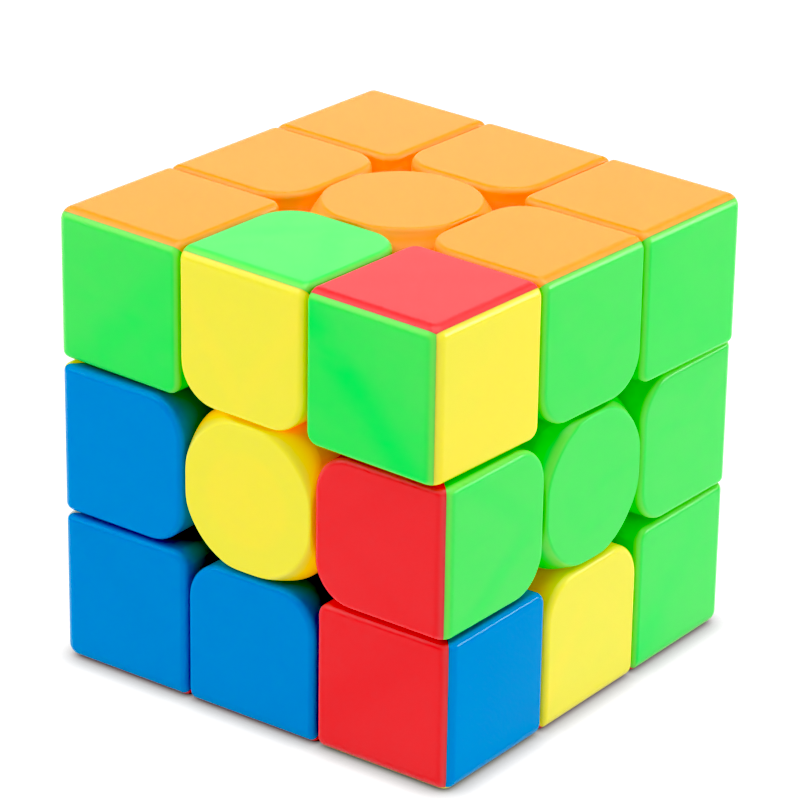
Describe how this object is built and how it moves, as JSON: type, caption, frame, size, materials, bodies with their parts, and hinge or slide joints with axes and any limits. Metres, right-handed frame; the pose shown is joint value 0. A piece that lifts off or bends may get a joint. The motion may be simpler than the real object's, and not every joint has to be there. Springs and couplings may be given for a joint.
{
  "type": "twisty puzzle cube",
  "caption": "Stickerless twisty puzzle cube whose layers turn on a sprung core, with round center caps, rounded edge pieces and square corner pieces.",
  "frame": {"origin": "middle of the core, where the six turning axes cross, which is the middle of the cube", "axes": "+Z out of the top face, -Y out of the front face and +X out of the right face, square to the middle layer"},
  "size_m": [0.0578, 0.0578, 0.056],
  "materials": {
    "orange": "satin moulded ABS, dyed right through",
    "red": "satin moulded ABS, dyed right through",
    "yellow": "satin moulded ABS, dyed right through",
    "white": "satin moulded ABS, dyed right through",
    "green": "satin moulded ABS, dyed right through",
    "blue": "satin moulded ABS, dyed right through",
    "core_plastic": "moulded nylon",
    "washer_plastic": "moulded acetal",
    "steel": "zinc plated"
  },
  "bodies": {
    "middle_layer": {"core": "core_plastic", "top_screw": "steel", "bottom_screw": "steel", "front_screw": "steel", "back_screw": "steel", "left_screw": "steel", "right_screw": "steel", "edge_front_left": "blue", "edge_front_right": "red", "edge_back_left": "white", "edge_back_right": "white"},
    "top_spring_stack": {"top_spring": "steel", "top_washer": "washer_plastic"},
    "bottom_spring_stack": {"bottom_spring": "steel", "bottom_washer": "washer_plastic"},
    "front_spring_stack": {"front_spring": "steel", "front_washer": "washer_plastic"},
    "back_spring_stack": {"back_spring": "steel", "back_washer": "washer_plastic"},
    "left_spring_stack": {"left_spring": "steel", "left_washer": "washer_plastic"},
    "right_spring_stack": {"right_spring": "steel", "right_washer": "washer_plastic"},
    "top_layer": {"top_center": "orange", "top_cap": "orange", "edge_top_front": "green", "edge_top_back": "orange", "edge_top_left": "orange", "edge_top_right": "orange", "corner_top_front_left": "orange", "corner_top_front_right": "red", "corner_top_back_left": "orange", "corner_top_back_right": "orange"},
    "bottom_layer": {"bottom_center": "red", "bottom_cap": "red", "edge_bottom_front": "red", "edge_bottom_back": "red", "edge_bottom_left": "orange", "edge_bottom_right": "red", "corner_bottom_front_left": "red", "corner_bottom_front_right": "yellow", "corner_bottom_back_left": "yellow", "corner_bottom_back_right": "red"},
    "front_face": {"front_center": "yellow", "front_cap": "yellow"},
    "back_face": {"back_center": "white", "back_cap": "white"},
    "left_face": {"left_center": "blue", "left_cap": "blue"},
    "right_face": {"right_center": "green", "right_cap": "green"}
  },
  "joints": [
    {"name": "top_turn", "type": "hinge", "parent": "middle_layer", "child": "top_spring_stack", "pos_m": [0, 0, 0], "axis": [0, 0, 1], "continuous": true},
    {"name": "bottom_turn", "type": "hinge", "parent": "middle_layer", "child": "bottom_spring_stack", "pos_m": [0, 0, 0], "axis": [0, 0, -1], "continuous": true},
    {"name": "front_turn", "type": "hinge", "parent": "middle_layer", "child": "front_spring_stack", "pos_m": [0, 0, 0], "axis": [0, -1, 0], "continuous": true},
    {"name": "back_turn", "type": "hinge", "parent": "middle_layer", "child": "back_spring_stack", "pos_m": [0, 0, 0], "axis": [0, 1, 0], "continuous": true},
    {"name": "left_turn", "type": "hinge", "parent": "middle_layer", "child": "left_spring_stack", "pos_m": [0, 0, 0], "axis": [-1, 0, 0], "continuous": true},
    {"name": "right_turn", "type": "hinge", "parent": "middle_layer", "child": "right_spring_stack", "pos_m": [0, 0, 0], "axis": [1, 0, 0], "continuous": true},
    {"name": "top_float", "type": "slide", "parent": "top_spring_stack", "child": "top_layer", "axis": [0, 0, 1], "range_m": [0, 0.0006], "stiffness_N_per_m": 1500, "springref_m": -0.001, "deforming": ["top_spring"]},
    {"name": "bottom_float", "type": "slide", "parent": "bottom_spring_stack", "child": "bottom_layer", "axis": [0, 0, -1], "range_m": [0, 0.0006], "stiffness_N_per_m": 1500, "springref_m": -0.001, "deforming": ["bottom_spring"]},
    {"name": "front_float", "type": "slide", "parent": "front_spring_stack", "child": "front_face", "axis": [0, -1, 0], "range_m": [0, 0.0006], "stiffness_N_per_m": 1500, "springref_m": -0.001, "deforming": ["front_spring"]},
    {"name": "back_float", "type": "slide", "parent": "back_spring_stack", "child": "back_face", "axis": [0, 1, 0], "range_m": [0, 0.0006], "stiffness_N_per_m": 1500, "springref_m": -0.001, "deforming": ["back_spring"]},
    {"name": "left_float", "type": "slide", "parent": "left_spring_stack", "child": "left_face", "axis": [-1, 0, 0], "range_m": [0, 0.0006], "stiffness_N_per_m": 1500, "springref_m": -0.001, "deforming": ["left_spring"]},
    {"name": "right_float", "type": "slide", "parent": "right_spring_stack", "child": "right_face", "axis": [1, 0, 0], "range_m": [0, 0.0006], "stiffness_N_per_m": 1500, "springref_m": -0.001, "deforming": ["right_spring"]}
  ]
}
